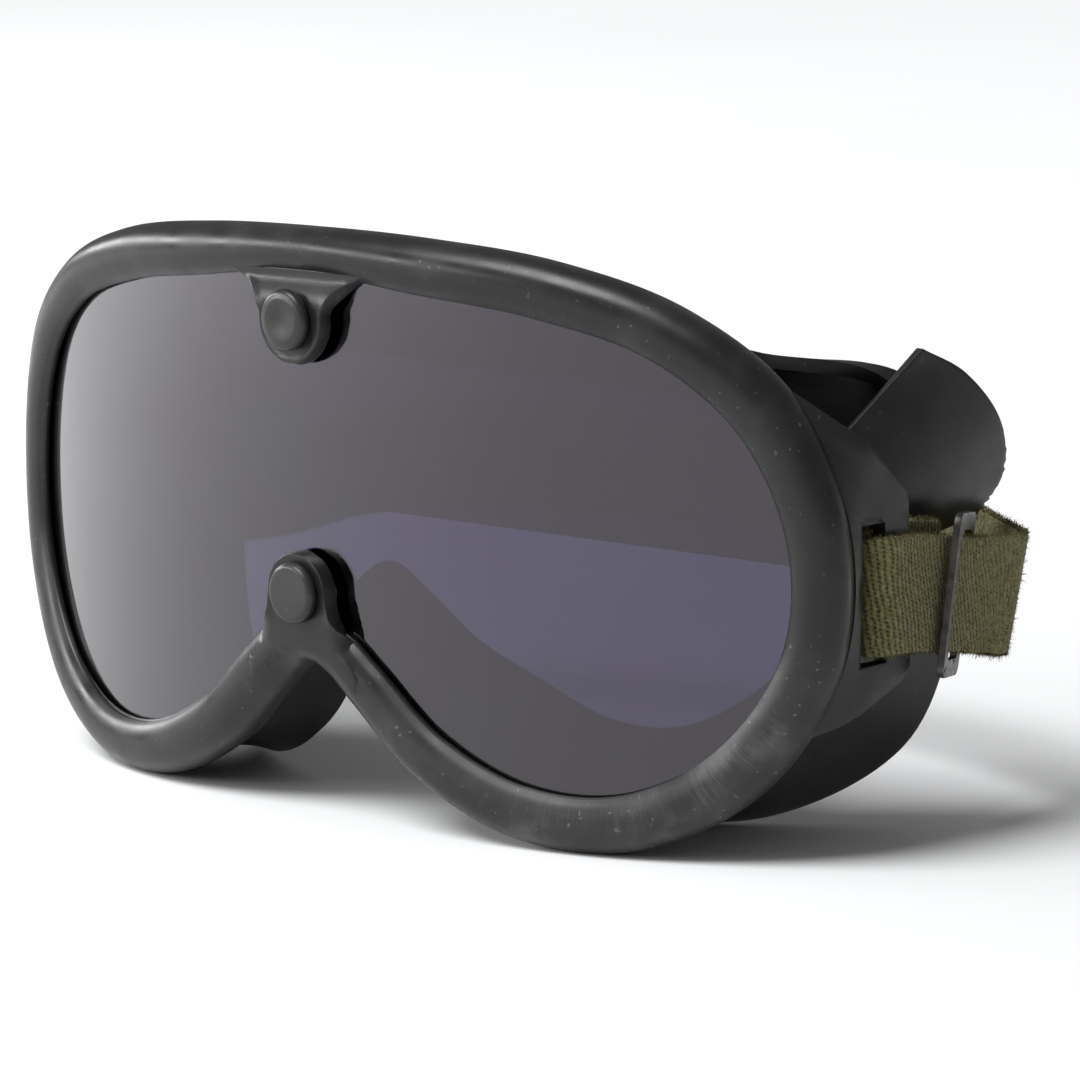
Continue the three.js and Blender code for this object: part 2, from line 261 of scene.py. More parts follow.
def round_rectangle(half_x, half_y, radius, steps=5):
    points = []
    for quarter, (sx, sy) in enumerate(((1, 1), (-1, 1), (-1, -1), (1, -1))):
        for i in range(steps + 1):
            t = math.pi / 2 * (quarter + i / steps)
            x = sx * (half_x - radius) + radius * math.cos(t)
            points.append((x, sy * (half_y - radius) + radius * math.sin(t)))
    return points


class Nodes:
    """A short way to write a procedural material."""

    def __init__(self, name, color, roughness, metallic=0.0):
        self.material = bpy.data.materials.new(name)
        self.material.use_nodes = True
        self.tree = self.material.node_tree
        self.shader = self.tree.nodes["Principled BSDF"]
        self.shader.inputs["Base Color"].default_value = (*color, 1)
        self.shader.inputs["Roughness"].default_value = roughness
        self.shader.inputs["Metallic"].default_value = metallic
        self.place = self.tree.nodes.new("ShaderNodeTexCoord").outputs["Object"]

    def noise(self, scale, detail, place=None, stretch=(1, 1, 1)):
        mapping = self.tree.nodes.new("ShaderNodeMapping")
        mapping.inputs["Scale"].default_value = stretch
        self.tree.links.new(place or self.place, mapping.inputs["Vector"])
        node = self.tree.nodes.new("ShaderNodeTexNoise")
        node.inputs["Scale"].default_value = scale
        node.inputs["Detail"].default_value = detail
        self.tree.links.new(mapping.outputs["Vector"], node.inputs["Vector"])
        return node.outputs["Fac"]

    def attribute(self, name):
        node = self.tree.nodes.new("ShaderNodeAttribute")
        node.attribute_name = name
        return node.outputs["Vector"]

    def math(self, operation, *values):
        node = self.tree.nodes.new("ShaderNodeMath")
        node.operation = operation
        for socket, value in zip(node.inputs, values):
            if isinstance(value, (int, float)):
                socket.default_value = value
            else:
                self.tree.links.new(value, socket)
        return node.outputs[0]

    def parts(self, vector):
        node = self.tree.nodes.new("ShaderNodeSeparateXYZ")
        self.tree.links.new(vector, node.inputs[0])
        return node.outputs

    def ramp(self, source, stops, socket):
        node = self.tree.nodes.new("ShaderNodeValToRGB")
        elements = node.color_ramp.elements
        for element, (place, color) in zip(elements, (stops[0], stops[-1])):
            element.position = place
            element.color = (*color, 1)
        for place, color in stops[1:-1]:
            elements.new(place).color = (*color, 1)
        self.tree.links.new(source, node.inputs["Fac"])
        self.tree.links.new(node.outputs["Color"], self.shader.inputs[socket])

    def bump(self, source, strength, distance):
        node = self.tree.nodes.new("ShaderNodeBump")
        node.inputs["Strength"].default_value = strength
        node.inputs["Distance"].default_value = distance
        self.tree.links.new(source, node.inputs["Height"])
        self.tree.links.new(node.outputs["Normal"], self.shader.inputs["Normal"])


def grey(value):
    return (value, value * 1.01, value * 1.02)


RUBBER_GLOSS = 0.36
# Noise scales of the rubber, in repeats a metre, and the level above which its dust shows.
MOTTLE_SCALE, SMUDGE_SCALE, DUST_SCALE, GRAIN_SCALE = 90, 170, 900, 2600
DUST_LEVEL = 0.735
DUST_BRIGHTNESS = 0.3


def dusty_mottle(made):
    """Soft mottling with a few pale specks of dust."""
    specks = made.math("GREATER_THAN", made.noise(DUST_SCALE, 1), DUST_LEVEL)
    return made.math("ADD", made.noise(MOTTLE_SCALE, 6), made.math("MULTIPLY", specks, DUST_BRIGHTNESS))


def rubber_material(name, base, rough):
    """Moulded rubber: mottled, faintly grained, with a few pale specks of dust."""
    made = Nodes(name, grey(base), rough)
    made.shader.inputs["Specular IOR Level"].default_value = RUBBER_GLOSS
    tones = ((0.3, 0.72), (0.55, 1), (0.75, 1.35), (1, 3.6))
    made.ramp(dusty_mottle(made), [(place, grey(base * tone)) for place, tone in tones], "Base Color")
    smudges = made.noise(SMUDGE_SCALE, 5)
    made.ramp(smudges, [(0.3, grey(rough - 0.07)), (0.7, grey(rough + 0.08))], "Roughness")
    made.bump(made.noise(GRAIN_SCALE, 3), 0.1, 0.0001)
    return made.material


# Scuffs are narrow along the bead and long across it.
SCUFF_STRETCH = (260, 1.4, 1)


def bead_material():
    """The bezel's rubber, with fine scuffs across the bead where its mark says that it is worn."""
    made = Nodes("bezel_rubber", grey(0.03), 0.42)
    made.shader.inputs["Specular IOR Level"].default_value = RUBBER_GLOSS
    around = made.attribute("around")
    streaks = made.noise(1, 5, around, SCUFF_STRETCH)
    worn = made.math("MULTIPLY", streaks, made.parts(around)[2])
    tone = made.math("ADD", dusty_mottle(made), made.math("MULTIPLY", worn, 0.5))
    stops = [(0.3, grey(0.009)), (0.6, grey(0.014)), (0.8, grey(0.027)), (1, grey(0.09))]
    made.ramp(tone, stops, "Base Color")
    smudges = made.math("ADD", made.noise(SMUDGE_SCALE, 5), worn)
    made.ramp(smudges, [(0.3, grey(0.22)), (1, grey(0.46))], "Roughness")
    made.bump(made.math("ADD", worn, made.noise(GRAIN_SCALE, 3)), 0.12, 0.00012)
    return made.material


def lens_material():
    made = Nodes("tinted_lens", (0.034, 0.031, 0.074), 0.012)
    made.shader.inputs["Transmission Weight"].default_value = 1
    made.shader.inputs["IOR"].default_value = 1.49
    made.shader.inputs["Coat Weight"].default_value = 1
    made.shader.inputs["Specular Tint"].default_value = (1, 0.88, 1, 1)
    made.shader.inputs["Coat Roughness"].default_value = 0.01
    made.ramp(made.noise(34, 5), [(0.35, grey(0.004)), (0.75, grey(0.014))], "Roughness")
    return made.material


# The knit's chains lie this far apart, in millimetres, and its stitches are this long.
WALE = 0.88
STITCH = 0.7


def knit_material():
    """Olive knitted elastic: chains of stitches with painted shade in dashes between them, felted at the
    back.
    """
    made = Nodes("knitted_elastic", (0.1, 0.09, 0.04), 0.95)
    along, across, felt = made.parts(made.attribute("weave"))
    wander = made.math("MULTIPLY", made.math("SUBTRACT", made.noise(700, 4), 0.5), 0.9)
    course = made.math("DIVIDE", made.math("ADD", along, wander), WALE)
    chain = made.math("ABSOLUTE", made.math("SINE", made.math("MULTIPLY", course, math.pi)))
    rows = made.math("ADD", made.math("DIVIDE", across, STITCH), made.math("MULTIPLY", course, 0.5))
    loops = made.math("ABSOLUTE", made.math("SINE", made.math("MULTIPLY", rows, math.pi)))
    dash = made.math("ADD", made.math("MULTIPLY", loops, 0.9), 0.1)
    between = made.math("SUBTRACT", 1, made.math("POWER", chain, 0.5))
    shown = made.math("SUBTRACT", 1, made.math("MULTIPLY", felt, 0.62))
    gap = made.math("MULTIPLY", made.math("MULTIPLY", between, dash), shown)
    fibres = made.math("MULTIPLY", made.math("SUBTRACT", made.noise(1500, 4), 0.5), 0.9)
    height = made.math("SUBTRACT", made.math("ADD", 0.8, fibres), gap)
    stops = [
        (0.1, (0.006, 0.005, 0.001)), (0.4, (0.05, 0.045, 0.012)),
        (0.75, (0.145, 0.129, 0.043)), (1, (0.23, 0.205, 0.082)),
    ]
    # Colour from the relief: the fibre noise is the yarn's own tone, and the dark dashes in the gaps
    # between the chains are painted shade.
    made.ramp(height, stops, "Base Color")
    made.shader.inputs["Sheen Weight"].default_value = 0.12
    made.shader.inputs["Sheen Roughness"].default_value = 0.6
    made.bump(height, 0.9, 0.0004)
    return made.material


def nap_material():
    made = Nodes("wool_nap", (0.1, 0.088, 0.03), 1)
    stops = [(0.3, (0.06, 0.052, 0.016)), (0.7, (0.18, 0.158, 0.06))]
    made.ramp(made.noise(300, 3), stops, "Base Color")
    return made.material


def metal_material():
    made = Nodes("dark_steel", (0.06, 0.058, 0.055), 0.42, 0.85)
    stops = [(0.3, (0.045, 0.044, 0.043)), (0.75, (0.1, 0.094, 0.085))]
    made.ramp(made.noise(500, 5), stops, "Base Color")
    made.ramp(made.noise(900, 4), [(0.3, grey(0.34)), (0.7, grey(0.55))], "Roughness")
    made.bump(made.noise(1800, 3), 0.15, 0.00008)
    return made.material


def foam_material():
    made = Nodes("open_foam", grey(0.2), 1)
    made.ramp(made.noise(1400, 5), [(0.35, grey(0.07)), (0.65, grey(0.3))], "Base Color")
    made.bump(made.noise(1700, 5), 0.9, 0.0005)
    return made.material


RUBBER = rubber_material("moulded_rubber", 0.014, 0.36)
STUD_RUBBER = rubber_material("stud_rubber", 0.03, 0.34)
BEAD_RUBBER = bead_material()
LENS = lens_material()
KNIT = knit_material()
NAP = nap_material()
METAL = metal_material()
FOAM_LOOK = foam_material()

# The bezel's section, as (share across the bezel, depth), then the lens groove's square corners.
BEAD = [
    (0, -1.2), (0.14, -2.3), (0.42, -3.1), (0.74, -2.6), (0.95, -0.6), (1, 1.8), (0.93, 4.6),
    (0.8, 6.3), (0.38, 6.6), (0.06, 6.2),
]
GROOVE = [(0.03, 1.85), (0.4, 1.85), (0.4, -0.35), (0, -0.35)]
BEAD_FRONT_POINTS = 6
BEAD_STEPS = 40
# The curve through the section is drawn as if the bezel were this wide everywhere.
BEZEL_MM = 10
# The stations between which the scuffs come in and die out, low on the wearer's left.
WEAR_STARTS, WEAR_ENDS = (5.5, 7), (9.5, 11)


def bead_section(points, steps):
    """The bead's section as a smooth line of (share across the bezel, depth)."""
    curve = spline([(share * BEZEL_MM, depth, 0) for share, depth in points], False)
    return [(p.x / BEZEL_MM, p.y) for p in (curve(s) for s in span(0, 1, steps))]


def make_bezel():
    section = bead_section(BEAD, BEAD_STEPS) + GROOVE
    points, marks = [], []
    for k in stations():
        wear = 0.25 + 0.75 * smooth_step(*WEAR_STARTS, k) * (1 - smooth_step(*WEAR_ENDS, k))
        for share, depth in section:
            points.append(across_bezel(k, share, depth))
            marks.append((k, share, wear))
    piece = mesh_piece("bezel_bead", points, ring_faces(AROUND, len(section), True), BEAD_RUBBER)
    vector_attribute(piece, "around", marks)
    stands_for(piece, "rubber", "bezel")


FACE_MIDDLE = 18
FACE_RADIUS = 79
WALL_START = 0.62
WALL_START_DEPTH = 5.4
WALL_WAIST = (0.42, 14)
WALL = 2.2
FLANGE = 1.6
FLANGE_GAP = -0.6
INSIDE_FLAP = 77
TEMPLE_Y = 37.6


def on_face(p, behind):
    """A point on the curved surface that fits the wearer's face, or this far behind it."""
    return Vector((p.x, FACE_MIDDLE + p.x * p.x / (2 * FACE_RADIUS) + behind, p.y))


def on_wall(k, s, off=0.0, start_depth=WALL_START_DEPTH):
    """A point of the cup wall, at a share s of the way from the bezel to the face."""
    start = across_bezel(k, WALL_START, start_depth)
    waist = across_bezel(k, *WALL_WAIST)
    end = on_face(face_edge(k), 0)
    out = (across_bezel(k, 1, 0) - across_bezel(k, 0, 0)).normalized()
    return start * (1 - s) ** 2 + waist * 2 * s * (1 - s) + end * s * s + out * off


def wall_to(k, y):
    """How far along the wall's section it reaches a depth behind the lens."""
    low, high = 0.0, 1.0
    for _ in range(24):
        middle = (low + high) / 2
        low, high = (middle, high) if on_wall(k, middle).y < y else (low, middle)
    return low


# Under the brow ridge the wall is open, where the temple flap was cut free from it.
RIDGE_FROM, RIDGE_TO = 2.55, 4.2
RIDGE_DROP = 1.3
RIDGE_DROPS = (1.8, 2.8)
RIDGE_SHARE = 0.93
RECESS_OPENS = (2.5, 3)
RECESS_Y = 21.0
TEMPLE_FROM, TEMPLE_TO = 5.36, 5.5
UNDER_EAR = (4.25, 4.9)
# The wall's lower and upper stretches meet at this share of its section, unless there is a gap.
MEETING = 0.7
LOWER_STEPS, UPPER_STEPS = 14, 8
FAR_APART = 8


def wall_spans(k):
    """The wall's lower and upper stretches at a station, and whether there is a gap between them."""
    near = min(k, 2 * LAST - k)
    if near <= RIDGE_FROM or near >= TEMPLE_TO:
        return (0, MEETING), (MEETING, 1), False
    if near < RIDGE_TO:
        opened = smooth_step(*RECESS_OPENS, near)
        front = wall_to(k, RECESS_Y)
        lower = MEETING + (front - MEETING) * opened
        return (0, lower), (MEETING + (RIDGE_SHARE - MEETING) * opened, 1), True
    closing = smooth_step(TEMPLE_FROM, TEMPLE_TO, near)
    end = wall_to(k, RECESS_Y + (TEMPLE_Y - RECESS_Y) * smooth_step(*UNDER_EAR, near))
    end += (1 - end) * closing
    return (0, end * MEETING), (end * MEETING, end), False


def make_wall():
    points, rows = [], []
    for k in stations():
        lower, upper, gap = wall_spans(k)
        near = min(k, 2 * LAST - k)
        drop = RIDGE_DROP * smooth_step(*RIDGE_DROPS, near) * gap
        first = len(points)
        points += [on_wall(k, s) for s in span(*lower, LOWER_STEPS)]
        meeting = len(points) - 1
        if gap:
            meeting = len(points)
            points.append(on_wall(k, upper[0], -drop))
        start = len(points)
        points += [on_wall(k, s, -drop) for s in span(*upper, UPPER_STEPS)[1:]]
        low = list(range(first, first + LOWER_STEPS + 1))
        rows.append((low, [meeting, *range(start, start + UPPER_STEPS)], gap))
    faces = []
    for (low_a, high_a, gap_a), (low_b, high_b, gap_b) in zip(rows, rows[1:] + rows[:1]):
        spans = [(low_a, low_b)]
        torn = gap_a != gap_b and ends_apart(points, high_a, high_b)
        if not torn:
            spans.append((high_a, high_b))
        for a, b in spans:
            faces += [(a[i], a[i + 1], b[i + 1], b[i]) for i in range(len(a) - 1)]
    piece = mesh_piece("cup_wall_moulding", points, faces, RUBBER)
    stands_for(thicken(piece, WALL, 0.7), "rubber", "cup_wall")


def ends_apart(points, *rows):
    """Whether the rows end at different depths, as where the ridge stops and the temple's cut begins."""
    return len({round(points[line[-1]].y / FAR_APART) for line in rows}) > 1


def make_flange(name, start, stop, steps, widest, *nodes):
    rows = []
    for k in span(start, stop, steps):
        outer, inner = face_edge(k), flange_edge(k)
        outer.x = min(max(outer.x, -widest), widest)
        rows.append([on_face(outer.lerp(inner, t), FLANGE / 2 + FLANGE_GAP) for t in span(0, 1, 10)])
    stands_for(thicken(grid_piece(name, rows, RUBBER), FLANGE, 0.6), "rubber", *nodes)


EAR_FROM = 3.98
EAR_TO = 6.5
EAR_ROOT = (0.88, 3.2)
EAR_CORNER = 2.0
# The ear is in the plane of its post from this share of its length.
EAR_STRAIGHT = 0.4
POST = {"x": 89.3, "front": 34.6, "back": 40.2, "top": 7.5, "bottom": -21.5}
SLOT = {"front": 28.6, "top": 3.4, "bottom": -18.3}
EAR = 2.5


def make_ear(side, sign):
    front = [across_bezel(k, *EAR_ROOT) for k in span(EAR_FROM, EAR_TO, 24)]

    def edge_at(z):
        above = [p for p in front if p.z >= z] or front[:1]
        below = [p for p in front if p.z <= z] or front[-1:]
        a, b = above[-1], below[0]
        return a.lerp(b, (a.z - z) / max(a.z - b.z, 1e-6)) if a.z > b.z else a

    corner = EAR_CORNER
    back, top, bottom = POST["back"], POST["top"], POST["bottom"]
    outer = [(p.y, p.z) for p in reversed(front)]
    outer += [(back - corner * 1.6, top + corner * 1.2), (back - 0.5, top), (back, top - corner)]
    outer += [(back, bottom + corner), (back - corner, bottom)]
    slot = [
        (SLOT["front"], SLOT["bottom"]), (POST["front"], SLOT["bottom"]),
        (POST["front"], SLOT["top"]), (SLOT["front"], SLOT["top"]),
    ]
    flat, faces = fill(outer, [slot], 1.5)
    points = []
    for y, z in flat:
        edge = edge_at(z)
        s = min(max((y - edge.y) / (back - edge.y), 0), 1)
        x = edge.x + (POST["x"] - edge.x) * min(1, s / EAR_STRAIGHT)
        points.append(Vector((sign * x, y, z)))
    piece = mesh_piece(side + "_strap_ear", points, [list(f) for f in faces], RUBBER)
    stands_for(thicken(piece, EAR, 0.6), "rubber", side + "_ear")


FLAP_BASE = [(79.6, 38.1, 16), (81.2, 38.1, 9), (82.4, 38.1, 2), (82.6, 38.1, -3.9)]
FLAP_EDGE = [(82.3, 53, 27.6), (83.6, 62, 22.8), (84, 70, 14.2), (82.7, 72, 6), (80.9, 67.3, -0.5)]
FLAP_BULGE = 1.3
FLAP_HINGE = (81, 38.1, 6)
TEAR_DEPTH = 0.9
TEARS = 55


def make_flap(side, sign):
    base, edge = spline(FLAP_BASE, False), spline(FLAP_EDGE, False)
    rows = []
    for s in span(0, 1, 60):
        start = base(s)
        stop = edge(s)
        # The rear of the rim keeps a ragged trim line.
        torn = smooth_step(0.5, 0.65, s) * (1 - smooth_step(0.97, 1, s))
        stop += (stop - start).normalized() * noise.noise(Vector((s * TEARS, 0, 3))) * TEAR_DEPTH * torn
        points = []
        for r in span(0, 1, 26):
            p = start.lerp(stop, r)
            p.x += FLAP_BULGE * math.sin(math.pi * s) * math.sin(math.pi * r)
            p.x *= sign
            points.append(p)
        rows.append(points)
    piece = grid_piece(side + "_flap", rows, RUBBER, body=None)
    thicken(piece, FLANGE, 0.35)
    x, y, z = FLAP_HINGE
    start = Vector((sign * x, y, z))
    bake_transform(piece)
    stands_for(piece, "rubber", side + "_temple_flap")


TOP_STUD_Z = 32
NOSE_STUD_Z = -11.8
STUD_HOLE = 2.6
PLATE_SPACING = 0.8
TAB_FRONT, TAB_THICKNESS = -3.3, 2.4
REAR_TAB_FRONT, REAR_TAB_THICKNESS = 2.4, 2.2


def mirror(left):
    return left + [(-x, z) for x, z in reversed(left[:-1])]


def bezier(a, b, c, steps):
    return [tuple(Vector(a) * (1 - t) ** 2 + Vector(b) * 2 * t * (1 - t) + Vector(c) * t * t)
            for t in span(0, 1, steps)]


BEAD_FRONT = bead_section(BEAD[:BEAD_FRONT_POINTS], 30)
BEAD_CREST = 0.42
CREST_ENDS = (6.5, 11.5)
NOSE_STATIONS = [(opening(k), bezel_edge(k)) for k in span(10, LAST, 60)]
WEB_STARTS = (-19.5, -15)
WEB_SINKS = 0.8
WEB_RIM = 1.1


def tab_outline(root, flare, stud_z, radius):
    """A tab's closed outline: half of it, from its root to its round end, and its mirror image."""
    side = 1 if root[1] > stud_z else -1
    angle = 0.12
    shoulder = (radius * math.cos(angle), stud_z + side * radius * math.sin(angle))
    left = bezier(root, flare, shoulder, 16)
    for t in span(angle, -math.pi / 2, 16)[1:]:
        left.append((radius * math.cos(t), stud_z + side * radius * math.sin(t)))
    return mirror(left)


def plate_piece(name, node, outer, hole_z, thickness, depth):
    """A rounded plate with a stud hole, facing the front; depth gives its middle's place."""
    flat, faces = fill(outer, [circle(0, hole_z, STUD_HOLE)], PLATE_SPACING)
    loop = [Vector(p) for p in outer]
    points = []
    for x, z in flat:
        rim = min((Vector((x, z)) - p).length for p in loop)
        points.append(Vector((x, depth(x, z, rim) + thickness / 2, z)))
    piece = mesh_piece(name, points, [list(f) for f in faces], RUBBER)
    stands_for(thicken(piece, thickness, 0.55), "rubber", node)


def top_tab_depth(x, z, rim):
    # A raised rim round the free edge, and a root that dips under the bead.
    root = smooth_step(TOP_STUD_Z + 2.5, 38.5, z)
    return TAB_FRONT - 0.3 * (1 - smooth_step(0.2, 1.3, rim)) * (1 - root) + 1.5 * root


def bead_surface(x, z):
    """Where the front of the bead lies at a place beside the nose."""
    place = Vector((abs(x), z, 0))
    best, share = math.inf, 0.0
    for start, stop in NOSE_STATIONS:
        way = stop - start
        at = min(max((place - start).dot(way) / way.length_squared, 0), 1)
        gap = (place - start - way * at).length
        if gap < best:
            best, share = gap, at
    # Near the stud the web stays level with the bead's crest instead of following its inner side.
    share = max(share, BEAD_CREST * (1 - smooth_step(*CREST_ENDS, abs(x))))
    ahead = [p for p in BEAD_FRONT if p[0] <= share][-1]
    behind = [p for p in BEAD_FRONT if p[0] > share][:1] or [ahead]
    t = (share - ahead[0]) / max(behind[0][0] - ahead[0], 1e-6)
    return ahead[1] + (behind[0][1] - ahead[1]) * t + x * x / (2 * LENS_RADIUS)


def nose_tab_depth(x, z, rim):
    # A pad under the stud, then a web that lies on the beads and sinks into them at its rim.
    web = 1 - smooth_step(*WEB_STARTS, z)
    lip = 0.3 * (1 - smooth_step(0.2, 1.5, rim)) * (1 - web)
    sunk = bead_surface(x, z) + WEB_SINKS * (1 - smooth_step(0, WEB_RIM, rim)) - 0.1
    return (TAB_FRONT - lip) * (1 - web) + sunk * web


def make_tabs():
    top = tab_outline((16.5, 39.9), (9.2, 37.4), TOP_STUD_Z, 7.2)
    plate_piece("top_lens_tab", "top_tab", top, TOP_STUD_Z, TAB_THICKNESS, top_tab_depth)
    plate_piece("top_back_tab", "top_rear_tab", top, TOP_STUD_Z, REAR_TAB_THICKNESS,
                lambda x, z, rim: REAR_TAB_FRONT)
    web = [
        (0, -22.2), (4.5, -23), (8, -25.3), (11.2, -28), (13.2, -27.4), (13.2, -24.6), (11.2, -21.6),
        (9.2, -18.8), (7.7, -16), (6.9, -13.6), (6.7, -12.4),
    ]
    side = spline([(x, z, 0) for x, z in web], False)
    left = [(p.x, p.y) for p in (side(t) for t in span(0, 1, 70))][1:]
    for t in span(0.1, math.pi / 2, 14)[1:]:
        left.append((6.7 * math.cos(t), NOSE_STUD_Z + 6.4 * math.sin(t)))
    outer = mirror(left) + [web[0]]
    plate_piece("nose_lens_tab", "nose_tab", outer, NOSE_STUD_Z, TAB_THICKNESS, nose_tab_depth)
    back = tab_outline((11.5, -20), (7.6, -16.5), NOSE_STUD_Z, 6.4)
    plate_piece("nose_back_tab", "nose_rear_tab", back, NOSE_STUD_Z, REAR_TAB_THICKNESS,
                lambda x, z, rim: REAR_TAB_FRONT)


def make_stud(name, node, body, z, crater):
    """A turned stud: a low domed head with a rounded rim, and a shank through the tabs and lens."""
    head, shank, dish, rim = 4.9, 2.1, 3.6, 0.95
    front, back, end = -5.3, -3.6, 5.0

    def face(r):
        return front + crater / 2 * math.cos(math.pi * r / dish) * (r < dish)

    profile = [(r, face(r)) for r in span(0, dish, 9)]
    for t in span(0, math.pi / 2, 8):
        profile.append((head - rim + rim * math.sin(t), front + rim * (1 - math.cos(t))))
    profile += [(head, back - 0.25), (head - 0.25, back), (shank, back), (shank, end - 0.7), (1.2, end)]
    count = 56
    points = [Vector((0, profile[0][1], z))]
    for r, y in profile[1:]:
        for i in range(count):
            t = 2 * math.pi * i / count
            points.append(Vector((r * math.cos(t), y, z + r * math.sin(t))))
    faces = [(0, 1 + i, 1 + (i + 1) % count) for i in range(count)]
    for j in range(len(profile) - 2):
        a, b = 1 + j * count, 1 + (j + 1) * count
        faces += [(a + i, b + i, b + (i + 1) % count, a + (i + 1) % count) for i in range(count)]
    last = 1 + (len(profile) - 2) * count
    faces.append(tuple(reversed(range(last, last + count))))
    stands_for(mesh_piece(name, points, faces, STUD_RUBBER, body), "stud_rubber", node)


LENS_IN_GROOVE = 2.3


def make_lens():
    outer = []
    for k in stations(208):
        lip = opening(k)
        edge = lip + (bezel_edge(k) - lip).normalized() * LENS_IN_GROOVE
        outer.append((edge.x, edge.y))
    holes = [circle(0, z, STUD_HOLE) for z in (TOP_STUD_Z, NOSE_STUD_Z)]
    flat, faces = fill(outer, holes, 3.0)
    count = len(flat)
    points = [wrap(u, z, depth) for depth in (0, LENS_THICKNESS) for u, z in flat]
    solid = [tuple(f) for f in faces] + [tuple(i + count for i in reversed(f)) for f in faces]
    start = 0
    for loop in (outer, *holes):
        size = len(loop)
        for i in range(size):
            a, b = start + i, start + (i + 1) % size
            solid.append((a, a + count, b + count, b))
        start += size
    piece = mesh_piece("curved_lens", points, solid, LENS)
    edges = piece.modifiers.new("sharp_rim", "EDGE_SPLIT")
    edges.split_angle = math.radians(40)
    stands_for(piece, "tinted_lens", "lens")


FOAM = 1.5
FOAM_SPAN = (0.55, 0.9)
FOAM_END = 2.3
FOAM_START_DEPTH = 6.95
FOAM_GAP = 0.15


def make_foam():
    sections = []
    for k in span(-FOAM_END, FOAM_END, 150):
        ring = []
        full = 1 - 0.7 * smooth_step(FOAM_END - 0.5, FOAM_END, abs(k))
        for x, y in round_rectangle(0.5, 0.5, 0.25, 6):
            s = FOAM_SPAN[0] + (FOAM_SPAN[1] - FOAM_SPAN[0]) * (x + 0.5)
            off = WALL / 2 + FOAM_GAP + FOAM * full * (y + 0.5)
            p = on_wall(k, s, off, FOAM_START_DEPTH)
            ring.append(p + noise.noise_vector(p * 1.1) * 0.2)
        sections.append(ring)
    faces = ring_faces(len(sections), len(sections[0]), False)
    piece = mesh_piece("brow_foam_strip", [p for ring in sections for p in ring], faces, FOAM_LOOK)
    stands_for(piece, "foam", "top_vent_foam")


STRAP_WIDTH = 18.4
STRAP = 1.6
# The route on the wearer's left: the loop round the ear's post, then the run behind the slide and
# round the head to its middle.
LOOP = [
    (85.9, 52.5, -8), (86.4, 45, -7), (86.7, 38.5, -7.4), (87, 33.7, -7.9), (89.3, 31.6, -7.9),
    (91.8, 33.7, -7.8), (91.95, 38.5, -8), (91.3, 48, -9.4), (90.6, 57, -10.9), (90.25, 62.6, -11.8),
]
BAND = [(89.6, 66.4, -12.2), (86.8, 69.9, -12), (80, 73.8, -10.8), (68, 78.4, -8.4), (45, 84.4, -4.6)]
BAND_MIDDLE = (0, 88.6, -2.2)
# The band stands higher on the wearer's right, round this place.
FAR_LIFT, FAR_LIFT_X, FAR_LIFT_WIDTH = 2.5, -59, 15
# At both sides the fold leans back at the top, round this place.
LEAN, FOLD_Y, FOLD_WIDTH, FOLD_SIDES = 0.3, 67, 7, (70, 88)
FELT_STARTS = (50, 63)
KNIT_STEP = 0.19
RIB = 0.13
SLANT = 0.13
NAP_RADIUS = 0.05
NAP_FIBRES = 52000


def measured(curve, samples=1200):
    """Places along a curve with their distance from its start."""
    places = [curve(s) for s in span(0, 1, samples)]
    lengths = [0.0]
    for a, b in zip(places, places[1:]):
        lengths.append(lengths[-1] + (b - a).length)
    return places, lengths


def webbing(name, points, step):
    """Knitted webbing on edge along a path. Returns it with its length and the frames along it."""
    curve = spline(points, False)
    places, lengths = measured(curve)
    total = lengths[-1]
    count = int(total / step)
    section = densify(round_rectangle(STRAP / 2, STRAP_WIDTH / 2, 0.7, 4), 0.4)
    vertices, marks, frames = [], [], []
    at = 0
    for i in range(count + 1):
        u = total * i / count
        while at < len(lengths) - 2 and lengths[at + 1] < u:
            at += 1
        share = (u - lengths[at]) / max(lengths[at + 1] - lengths[at], 1e-9)
        middle = places[at].lerp(places[at + 1], share)
        along = (places[min(at + 8, len(places) - 1)] - places[max(at - 8, 0)]).normalized()
        out = Vector((along.y, -along.x, 0)).normalized()
        lean = LEAN * math.exp(-((middle.y - FOLD_Y) / FOLD_WIDTH) ** 2)
        up = Vector((0, lean * smooth_step(*FOLD_SIDES, abs(middle.x)), 1))
        felt = smooth_step(*FELT_STARTS, middle.y)
        frames.append((middle, out, up, felt))
        for a, v in section:
            sway = SLANT * v + 0.6 * noise.noise(Vector((u * 0.13, v * 0.13, 2)))
            chain = math.sqrt(abs(math.sin(math.pi * (u + sway) / WALE)))
            lift = RIB * (chain - 1) + 0.1 * noise.noise(Vector((u * 0.3, v * 0.3, 7)))
            push = (1 if a > 0 else -1) * lift if abs(v) < STRAP_WIDTH / 2 - 0.5 else 0
            wave = noise.noise(Vector((u * 0.2, math.copysign(4, v), 1)))
            wave *= 0.3 * abs(v) / STRAP_WIDTH
            vertices.append(middle + out * (a + push) + up * (v + wave))
            marks.append((u + sway, v, felt))
    piece = mesh_piece(name, vertices, ring_faces(count + 1, len(section), False), KNIT, "headband_body")
    vector_attribute(piece, "weave", marks)
    return piece, total, frames


def densify(loop, spacing):
    """A closed outline with points added, so that none are further apart than the spacing."""
    points = []
    for (x1, y1), (x2, y2) in zip(loop, loop[1:] + loop[:1]):
        parts = max(1, round(math.hypot(x2 - x1, y2 - y1) / spacing))
        points += [(x1 + (x2 - x1) * i / parts, y1 + (y2 - y1) * i / parts) for i in range(parts)]
    return points


